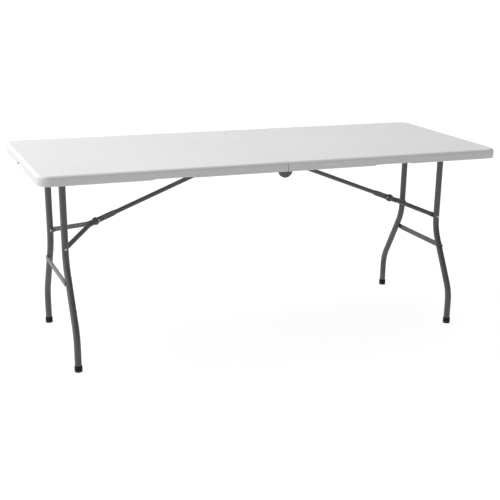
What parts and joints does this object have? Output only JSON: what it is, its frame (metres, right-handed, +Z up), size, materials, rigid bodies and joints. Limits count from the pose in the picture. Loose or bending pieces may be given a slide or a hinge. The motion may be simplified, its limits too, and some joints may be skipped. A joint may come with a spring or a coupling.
{
  "type": "folding table",
  "caption": "Rectangular fold-in-half table with a white moulded top and dark tubular legs that fold flat on jointed braces.",
  "frame": {"origin": "floor level under the middle of the open table", "axes": "+X along the length, from the left half to the right half, +Y across the width to the back, +Z up"},
  "size_m": [1.8, 0.74, 0.74],
  "materials": {
    "top_plastic": "light grey-white moulded polyethylene, very fine pebble grain, satin",
    "frame_steel": "dark grey powder coat, satin",
    "rail_steel": "dark grey powder coat, satin",
    "zinc_hardware": "bright zinc-plated rivets, pins, rods and screws",
    "foot_plastic": "black moulded feet, dull",
    "black_plastic": "black moulded small parts"
  },
  "bodies": {
    "left_half": {"left_top": "top_plastic", "left_front_rail": "rail_steel", "left_back_rail": "rail_steel", "left_rail_screws": "zinc_hardware", "left_hinge_plates": "rail_steel", "left_plate_rivets": "zinc_hardware", "left_brace_rod": "zinc_hardware", "left_rod_collars": "black_plastic", "hinge_pins": "rail_steel", "handle_clips": "black_plastic"},
    "right_half": {"right_top": "top_plastic", "right_front_rail": "rail_steel", "right_back_rail": "rail_steel", "right_rail_screws": "zinc_hardware", "right_hinge_plates": "rail_steel", "right_plate_rivets": "zinc_hardware", "right_brace_rod": "zinc_hardware", "right_rod_collars": "black_plastic"},
    "left_leg_frame": {"left_front_leg_tube": "frame_steel", "left_back_leg_tube": "frame_steel", "left_leg_pivot_tube": "frame_steel", "left_leg_push_nuts": "black_plastic", "left_crossbar": "frame_steel", "left_front_foot": "foot_plastic", "left_back_foot": "foot_plastic", "left_leg_rivets": "zinc_hardware"},
    "left_brace": {"left_brace_tube": "frame_steel"},
    "left_fork": {"left_front_arm": "frame_steel", "left_back_arm": "frame_steel", "left_knee_rivet": "zinc_hardware", "left_arm_rivet_tails": "zinc_hardware"},
    "left_ring": {"left_lock_ring": "frame_steel"},
    "right_leg_frame": {"right_front_leg_tube": "frame_steel", "right_back_leg_tube": "frame_steel", "right_leg_pivot_tube": "frame_steel", "right_leg_push_nuts": "black_plastic", "right_crossbar": "frame_steel", "right_front_foot": "foot_plastic", "right_back_foot": "foot_plastic", "right_leg_rivets": "zinc_hardware"},
    "right_brace": {"right_brace_tube": "frame_steel"},
    "right_fork": {"right_front_arm": "frame_steel", "right_back_arm": "frame_steel", "right_knee_rivet": "zinc_hardware", "right_arm_rivet_tails": "zinc_hardware"},
    "right_ring": {"right_lock_ring": "frame_steel"},
    "carry_handle": {"handle_bail": "frame_steel", "handle_grip": "black_plastic"}
  },
  "joints": [
    {"name": "centre_fold", "type": "hinge", "parent": "left_half", "child": "right_half", "pos_m": [0, 0, 0.695], "axis": [0, 1, 0], "range_deg": [0, 90]},
    {"name": "left_leg_fold", "type": "hinge", "parent": "left_half", "child": "left_leg_frame", "pos_m": [-0.78, 0, 0.711], "axis": [0, -1, 0], "range_deg": [0, 89.19]},
    {"name": "left_brace_swing", "type": "hinge", "parent": "left_half", "child": "left_brace", "pos_m": [-0.024, 0, 0.717], "axis": [0, -1, 0], "range_deg": [-21.05, 0.5]},
    {"name": "left_knee", "type": "hinge", "parent": "left_brace", "child": "left_fork", "pos_m": [-0.61848, 0, 0.48536], "axis": [0, -1, 0], "range_deg": [-0.5, 180.5]},
    {"name": "left_ring_slide", "type": "slide", "parent": "left_brace", "child": "left_ring", "axis": [0.9318, 0, 0.3631], "range_m": [-0.001, 0.181]},
    {"name": "right_leg_fold", "type": "hinge", "parent": "right_half", "child": "right_leg_frame", "pos_m": [0.78, 0, 0.711], "axis": [0, 1, 0], "range_deg": [0, 89.19]},
    {"name": "right_brace_swing", "type": "hinge", "parent": "right_half", "child": "right_brace", "pos_m": [0.024, 0, 0.717], "axis": [0, 1, 0], "range_deg": [-21.05, 0.5]},
    {"name": "right_knee", "type": "hinge", "parent": "right_brace", "child": "right_fork", "pos_m": [0.61848, 0, 0.48536], "axis": [0, 1, 0], "range_deg": [-0.5, 180.5]},
    {"name": "right_ring_slide", "type": "slide", "parent": "right_brace", "child": "right_ring", "axis": [-0.9318, 0, 0.3631], "range_m": [-0.001, 0.181]},
    {"name": "handle_swing", "type": "hinge", "parent": "left_half", "child": "carry_handle", "pos_m": [-0.862, 0, 0.721], "axis": [0, 1, 0], "range_deg": [0, 140]}
  ],
  "couplings": [
    {"joint": "left_brace_swing", "follows": "left_leg_fold", "ratio": -0.23045},
    {"joint": "left_knee", "follows": "left_leg_fold", "ratio": 2.0181},
    {"joint": "left_ring_slide", "follows": "left_leg_fold", "m_per_rad": 0.11563},
    {"joint": "right_brace_swing", "follows": "right_leg_fold", "ratio": -0.23045},
    {"joint": "right_knee", "follows": "right_leg_fold", "ratio": 2.0181},
    {"joint": "right_ring_slide", "follows": "right_leg_fold", "m_per_rad": 0.11563}
  ]
}
